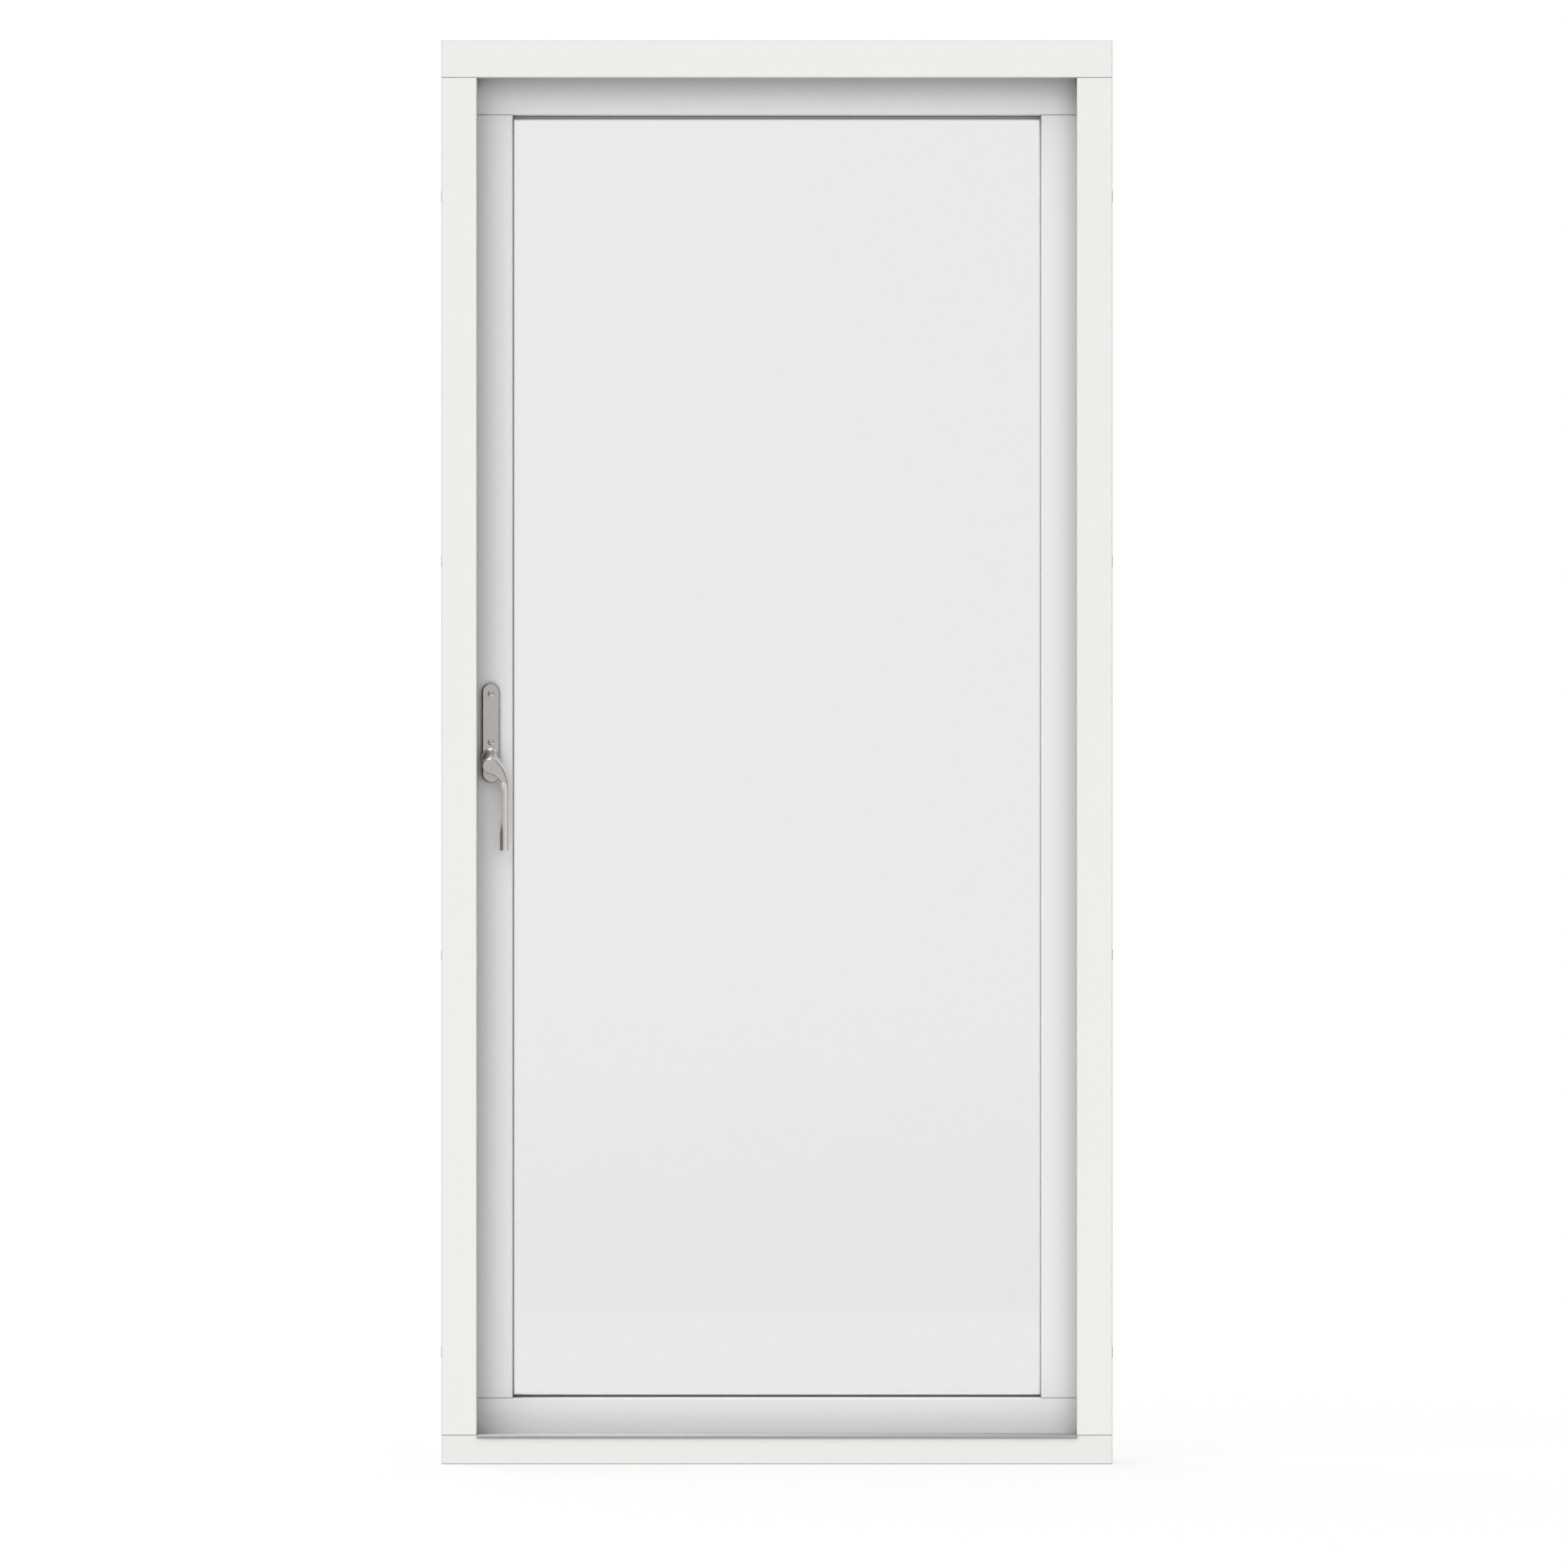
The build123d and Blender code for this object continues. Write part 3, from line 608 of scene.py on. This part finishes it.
def paintedSheenStrip():
    material, tree, output = newMaterial("anodisedAluminium")
    place = addNode(tree, "TexCoord").outputs["Object"]
    across = addNode(tree, "SeparateXYZ", links={0: place})
    lay = addNode(
        tree, "Mapping", values={"Scale": [perMetre(size) for size in tread["lines"]]},
        links={"Vector": place},
    )
    lines = addNode(
        tree, "TexNoise", values={"Scale": 1.0, "Detail": 2.0}, links={"Vector": lay.outputs[0]}
    )
    # Painted highlight on the tread, fading across it, and painted shade on the nose
    highlightFade = addNode(
        tree, "MapRange", values={"From Min": tread["highlightAt"], "From Max": tread["shadeAt"]},
        links={"Value": across.outputs["X"]},
    )
    top = addNode(
        tree, "Mix", {"data_type": "RGBA"},
        {6: toLinear(tread["treadHighlightHex"]), 7: toLinear(tread["treadShadeHex"])}, {0: highlightFade.outputs[0]},
    )
    faces = addNode(tree, "SeparateXYZ", links={0: addNode(tree, "NewGeometry").outputs["Normal"]})
    colour = addNode(
        tree, "Mix", {"data_type": "RGBA"}, {6: toLinear(tread["noseShadeHex"])},
        {0: faces.outputs["Z"], 7: top.outputs[2]},
    )
    roughness = addNode(
        tree, "MapRange", values={"To Min": tread["roughness"][0], "To Max": tread["roughness"][1]},
        links={"Value": lines.outputs[0]},
    )
    bump = addNode(
        tree, "Bump", values={"Strength": 1.0, "Distance": tread["lineHeight"]},
        links={"Height": lines.outputs[0]},
    )
    surface = addNode(
        tree, "BsdfPrincipled", values={"Metallic": tread["metallic"]},
        links={
            "Base Color": colour.outputs[2],
            "Roughness": roughness.outputs[0],
            "Normal": bump.outputs[0],
        },
    )
    finished(tree, output, surface)
    return material


# Plastics, rubbers and powder coat: a dielectric with a fine moulded or sprayed texture


def moulded(name, finish):
    # A finish with a colour for its bottom is painted darker there, as painted shade
    material, tree, output = newMaterial(name)
    place = addNode(tree, "TexCoord").outputs["Object"]
    pits = addNode(
        tree, "TexNoise", values={"Scale": perMetre(finish["texture"]), "Detail": 2.0},
        links={"Vector": place},
    )
    clouds = addNode(
        tree, "TexNoise", values={"Scale": perMetre(finish["cloudSize"])}, links={"Vector": place}
    )
    colour = addNode(
        tree, "Mix", {"data_type": "RGBA"},
        {6: toLinear(finish["hex"]), 7: toLinear(finish["dullHex"])}, {0: clouds.outputs[0]},
    )
    # Painted shade along the bottom
    if "bottomShadeHex" in finish:
        height = addNode(tree, "SeparateXYZ", links={0: place})
        clearOfShade = finish["shadeBelow"]
        above = addNode(
            tree, "MapRange", values={"From Min": clearOfShade - finish["shadeFade"], "From Max": clearOfShade},
            links={"Value": height.outputs["Z"]},
        )
        colour = addNode(
            tree, "Mix", {"data_type": "RGBA"},
            {6: toLinear(finish["bottomShadeHex"])}, {0: above.outputs[0], 7: colour.outputs[2]},
        )
    roughness = addNode(
        tree, "MapRange", values={"To Min": finish["roughness"][0], "To Max": finish["roughness"][1]},
        links={"Value": pits.outputs[0]},
    )
    bump = addNode(
        tree, "Bump", values={"Strength": 1.0, "Distance": finish["pitDepth"]},
        links={"Height": pits.outputs[0]},
    )
    # A painted glow where the finish has one
    surface = addNode(
        tree, "BsdfPrincipled",
        values={"Specular IOR Level": finish["specular"], "Emission Strength": finish.get("paintedGlow", 0)},
        links={
            "Base Color": colour.outputs[2],
            "Roughness": roughness.outputs[0],
            "Normal": bump.outputs[0],
        },
    )
    finished(tree, output, surface)
    return material


sealRubber = {                  # extruded rubber: dead matt with a dusty bloom
    "hex": "#4b4c4b",
    "dullHex": "#565755",
    "texture": 0.8,
    "cloudSize": 25,
    "roughness": (0.6, 0.75),
    "pitDepth": 0.00002,
    "specular": 0.3,
}
greyBead = {                    # the same rubber in pale grey, under the glass
    "hex": "#d4d4d2",
    "dullHex": "#cacac8",
    "bottomShadeHex": "#666664",     # painted shade along the bottom, under the glass
    "shadeBelow": 0.0972,      # metres above the floor
    "shadeFade": 0.001,
    "texture": 0.8,
    "cloudSize": 25,
    "roughness": (0.55, 0.7),
    "pitDepth": 0.00002,
    "specular": 0.35,
}
paleLip = {                     # clear silicone lip of the glazing seal: pale and slightly glossy
    "hex": "#fefefd",
    "dullHex": "#fafaf8",
    "texture": 1.5,
    "cloudSize": 60,
    "roughness": (0.3, 0.4),
    "pitDepth": 0.00001,
    "specular": 0.5,
    "paintedGlow": 0.13,               # painted glow, standing in for light that passes through it from behind the glass
}
sleeveNylon = {                 # injection-moulded nylon: milky, with a low even shine
    "hex": "#b8b7b2",
    "dullHex": "#aeada8",
    "texture": 0.7,
    "cloudSize": 15,
    "roughness": (0.42, 0.55),
    "pitDepth": 0.00002,
    "specular": 0.45,
}
powderCoat = {                  # baked powder on aluminium beads: white with a fine pebbled skin
    "hex": "#ececea",
    "dullHex": "#e8e8e6",
    "texture": 1.1,
    "cloudSize": 90,
    "roughness": (0.4, 0.5),
    "pitDepth": 0.00003,
    "specular": 0.5,
}

glassPane = {
    "hex": "#f6f6f6",           # what one face lets through
    "lowShadeHex": "#f2f2f2",       # the same, darker as painted shade towards the floor
    "shadeHeights": (0.25, 0.75),        # metres above the floor between which the painted shade fades out
    "unshadedShare": (0.27, 0.7),
    "ior": 1.52,
}


def floatGlass():
    # Clear float glass: what lies behind is seen a little darker, and straight lines stay straight
    material, tree, output = newMaterial("clearFloatGlass")
    place = addNode(tree, "SeparateXYZ", links={0: addNode(tree, "TexCoord").outputs["Object"]})
    # Painted shade: the glass is tinted darker towards the floor
    clearOfShade = addNode(
        tree, "MapRange", {"interpolation_type": "SMOOTHSTEP"},
        {
            "From Min": glassPane["shadeHeights"][0],
            "From Max": glassPane["shadeHeights"][1],
            "To Min": glassPane["unshadedShare"][0],
            "To Max": glassPane["unshadedShare"][1],
        },
        {"Value": place.outputs["Z"]},
    )
    colour = addNode(
        tree, "Mix", {"data_type": "RGBA"},
        {6: toLinear(glassPane["lowShadeHex"]), 7: toLinear(glassPane["hex"])}, {0: clearOfShade.outputs[0]},
    )
    clear = addNode(
        tree, "BsdfPrincipled",
        values={"Roughness": 0.0, "IOR": glassPane["ior"], "Transmission Weight": 1.0},
        links={"Base Color": colour.outputs[2]},
    )
    rays = addNode(tree, "LightPath")
    passing = addNode(
        tree, "Math", {"operation": "MAXIMUM"},
        links={0: rays.outputs["Is Shadow Ray"], 1: rays.outputs["Is Diffuse Ray"]},
    )
    through = addNode(tree, "BsdfTransparent", values={"Color": toLinear(glassPane["hex"])})
    mixed = addNode(
        tree, "MixShader", links={0: passing.outputs[0], 1: clear.outputs[0], 2: through.outputs[0]}
    )
    tree.links.new(mixed.outputs[0], output.inputs["Surface"])
    return material


fourSides = ("top", "bottom", "left", "right")
threeLevels = (1, 2, 3)
nickel = metal("satinNickel", satinNickel)
zinc = metal("zincPlatedSteel", zincPlate)
rubber = moulded("extrudedRubber", sealRubber)
nylon = moulded("mouldedNylon", sleeveNylon)
dress(paintedPine("framePineUpright", "frame", 2), "frame_jamb_left", "frame_jamb_right")
dress(paintedPine("framePineLevel", "frame", 0), "frame_head")
# The sill's darker coat is painted shade
dress(paintedPine("shadedSillPine", "sill", 0), "frame_sill")
dress(paintedPine("sashPineUpright", "sash", 2), "sash_stile_lock", "sash_stile_hinge")
dress(paintedPine("sashPineLevel", "sash", 0), "sash_rail_top", "sash_rail_bottom")
dress(paintedSheenStrip(), "threshold_strip")
dress(rubber, *["weather_seal_" + side for side in ("head", "left", "right", "sill")])
dress(rubber, "glazing_seal_outer")
dress(floatGlass(), "glass_inner", "glass_outer")
dress(metal("millAluminium", millSpacer), "glass_spacer")
dress(moulded("powderCoatedAluminium", powderCoat), *["glazing_bead_" + side for side in fourSides])
dress(zinc, "lock_faceplate", "lock_bolts", *[f"strike_plate_{number}" for number in threeLevels])
dress(zinc, *[f"hinge_{half}_leaf_{number}" for half in ("frame", "sash") for number in threeLevels])
dress(nickel, "handle_plate", "handle_lever", "handle_spindle")
print("materials made")


# Handle screws: raised heads with a cross recess, through the plate into the stile

handleScrew = {
    "dome": (
        (0, 0.0024), (0.0012, 0.00235), (0.0024, 0.0021), (0.0034, 0.0016), (0.0041, 0.001),
        (0.0045, 0.0004), (0.0046, 0),
    ),
    "shankRadius": 0.002,
    "shankLength": 0.022,
    "steps": 40,
    "crossLength": 0.0046,
    "crossWidth": 0.0011,
    "crossDepth": 0.0014,
    "crossTaper": 0.45,
    "turn": 12,                 # degrees that the second screw's cross is turned
}


def crossRecess(sizes, top):
    # Two tapered bars, one across the other
    bars = []
    for quarterTurn in (0, 90):
        bar = taperedBar(
            sizes["crossLength"], sizes["crossWidth"], top, sizes["crossDepth"], sizes["crossTaper"]
        )
        bar.transform(Matrix.Rotation(math.radians(quarterTurn), 4, "Z"))
        bars.append(bar)
    return bars


def makeHandleScrews():
    low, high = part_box("handle_screws")
    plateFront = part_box("handle_plate")[0].y
    middle = (low.x + high.x) / 2
    radius = handleScrew["dome"][-1][0]
    shank, length = handleScrew["shankRadius"], handleScrew["shankLength"]
    outline = handleScrew["dome"] + ((shank, 0), (shank, -length), (0, -length))
    top = handleScrew["dome"][0][1]
    pattern = cutAway(lathe("screw", outline, handleScrew["steps"]), *crossRecess(handleScrew, top))
    heights = (low.z + radius, high.z - radius)
    turned = Matrix.Rotation(math.radians(handleScrew["turn"]), 4, "Z")
    placements = [
        pointing((0, -1, 0), (middle, plateFront, heights[0])),
        pointing((0, -1, 0), (middle, plateFront, heights[1])) @ turned,
    ]
    screws = scattered("handleScrews", pattern, placements)
    addPiece("handleScrews", screws, nickel, "sash", "handle_metal", "handle_screws")


makeHandleScrews()


# Frame sleeves: nylon tubes, their proud ends chamfered and slotted for the driver that adjusts them

sleeve = {
    "radius": 0.0095,
    "bore": 0.004,
    "chamfer": 0.0015,
    "socket": (0.0062, 0.006),  # radius and depth of the hollow in the inner end
    "slotWidth": 0.0016,
    "slotDepth": 0.002,
    "steps": 48,
}


def makeSleeves():
    mounts = frame["record"]["mounts"]
    for side, sign in (("left", -1), ("right", 1)):
        node = "frame_sleeves_" + side
        low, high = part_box(node)
        length = high.x - low.x
        outer = low.x if sign < 0 else high.x
        wide, bore, ease = sleeve["radius"], sleeve["bore"], sleeve["chamfer"]
        hollow, hollowDepth = sleeve["socket"]
        outline = (
            (bore, hollowDepth - length), (bore, 0), (wide - ease, 0), (wide, -ease), (wide, -length),
            (hollow, -length), (hollow, hollowDepth - length), (bore, hollowDepth - length),
        )
        slotDepth = sleeve["slotDepth"]
        slot = taperedBar(4 * wide, sleeve["slotWidth"], slotDepth, 2 * slotDepth, 1)
        pattern = cutAway(lathe("sleeve", outline, sleeve["steps"]), slot)
        placements = []
        for mount in mounts:
            if mount["name"].startswith("sleeves_" + side):
                reach = mount["dims"]["spacing_y_mm"] / 2000
                for step in (-reach, reach):
                    centre = (outer, (low.y + high.y) / 2, mount["pos_m"][2] + step)
                    placements.append(pointing((sign, 0, 0), centre))
        piece = scattered("frameSleeves" + side.capitalize(), pattern, placements)
        addPiece(piece.name, piece, nylon, "frame", "sleeve_plastic", node)


makeSleeves()


# Countersunk screws in the hinge leaves, the strike plates and the lock's faceplate

plateScrew = {
    "head": (
        (0, 0.0003), (0.0022, 0.0003), (0.0033, 0.0001), (0.0035, 0), (0.0035, -0.0004),
        (0.0018, -0.0022), (0, -0.0022),
    ),
    "steps": 24,
    "crossLength": 0.0036,
    "crossWidth": 0.0009,
    "crossDepth": 0.0014,
    "crossTaper": 0.4,
    "leafThickness": 0.003,
    "leafRows": ((0.010, -0.034), (0.021, -0.017), (0.010, 0), (0.021, 0.017), (0.010, 0.034)),
    "strikeReach": 0.044,       # from the middle of a strike plate to its screws
    "faceplateEnd": 0.018,
    "faceplateReach": 0.075,    # from the middle of a bolt to the screws above and below it
}


def makePlateScrews():
    top = plateScrew["head"][0][1]
    blank = lathe("countersunk", plateScrew["head"], plateScrew["steps"])
    pattern = cutAway(blank, *crossRecess(plateScrew, top))
    thickness = plateScrew["leafThickness"]
    leafPlaces = {"frame": [], "sash": []}
    for number in threeLevels:
        frameLeaf, sashLeaf = (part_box(f"hinge_{half}_leaf_{number}") for half in ("frame", "sash"))
        middle = (frameLeaf[0].z + sashLeaf[1].z) / 2
        for half, sign in (("frame", -1), ("sash", 1)):
            low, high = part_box(f"hinge_{half}_leaf_{number}")
            face = high.x - thickness if sign < 0 else low.x + thickness
            for across, up in plateScrew["leafRows"]:
                leafPlaces[half].append(pointing((sign, 0, 0), (face, low.y + across, middle + up)))
    strikePlaces = []
    faceplateLow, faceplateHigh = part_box("lock_faceplate")
    faceplateHeights = [
        faceplateLow.z + plateScrew["faceplateEnd"], faceplateHigh.z - plateScrew["faceplateEnd"]
    ]
    for number in threeLevels:
        low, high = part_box(f"strike_plate_{number}")
        middle = (low + high) / 2
        for way in (-1, 1):
            strikeHeight = middle.z + way * plateScrew["strikeReach"]
            strikePlaces.append(pointing((1, 0, 0), (high.x, middle.y, strikeHeight)))
            faceplateHeights.append(middle.z + way * plateScrew["faceplateReach"])
    boltY = (faceplateLow.y + faceplateHigh.y) / 2
    faceplatePlaces = [
        pointing((-1, 0, 0), (faceplateLow.x, boltY, height)) for height in faceplateHeights
    ]
    for name, places, body, slot in (
        ("hingeScrewsFrame", leafPlaces["frame"], "frame", "hinge_steel"),
        ("hingeScrewsSash", leafPlaces["sash"], "sash", "hinge_steel"),
        ("strikeScrews", strikePlaces, "frame", "lock_steel"),
        ("faceplateScrews", faceplatePlaces, "sash", "lock_steel"),
    ):
        addPiece(name, scattered(name, pattern, places), zinc, body, slot)


makePlateScrews()
print("screws and sleeves made")


# Glazing seal on the room side: a dark rubber bead and the pale lip that it presses on the glass

glazing = {
    "halfWidth": 0.3862,        # inner edge of the rubber: half its width, its base and its top
    "base": 0.0972,
    "top": 1.9694,
    "bead": (
        (-0.006, 0), (-0.006, 0.0012), (-0.0038, 0.0012), (-0.0034, 0.0028), (-0.0018, 0.0028),
        (-0.0013, 0.0008), (-0.0013, 0),
    ),
    "foot": ((-0.0015, 0), (-0.0015, 0.0004), (0, 0.0004), (0, 0)),
    "lip": ((-0.0004, 0), (-0.0004, 0.0009), (0.0010, 0.0009), (0.0013, 0.0005), (0.0013, 0)),
}


def makeGlazingSeal():
    # The sections are (inwards from the rubber's inner edge, off the glass)
    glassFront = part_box("glass_inner")[0].y
    for name, part, material, replaced in (
        ("glazingBead", "bead", moulded("greyRubber", greyBead), ["glazing_seal_inner"]),
        ("glazingFoot", "foot", rubber, []),
        ("glazingLip", "lip", moulded("clearSilicone", paleLip), []),
    ):
        outline = [(inset, glassFront - depth) for inset, depth in glazing[part]]
        ring = mitredRing(name, glazing["halfWidth"], glazing["base"], glazing["top"], outline)
        addPiece(name, ring, material, "sash", "seal_rubber", *replaced)


makeGlazingSeal()
print("glazing seal made")
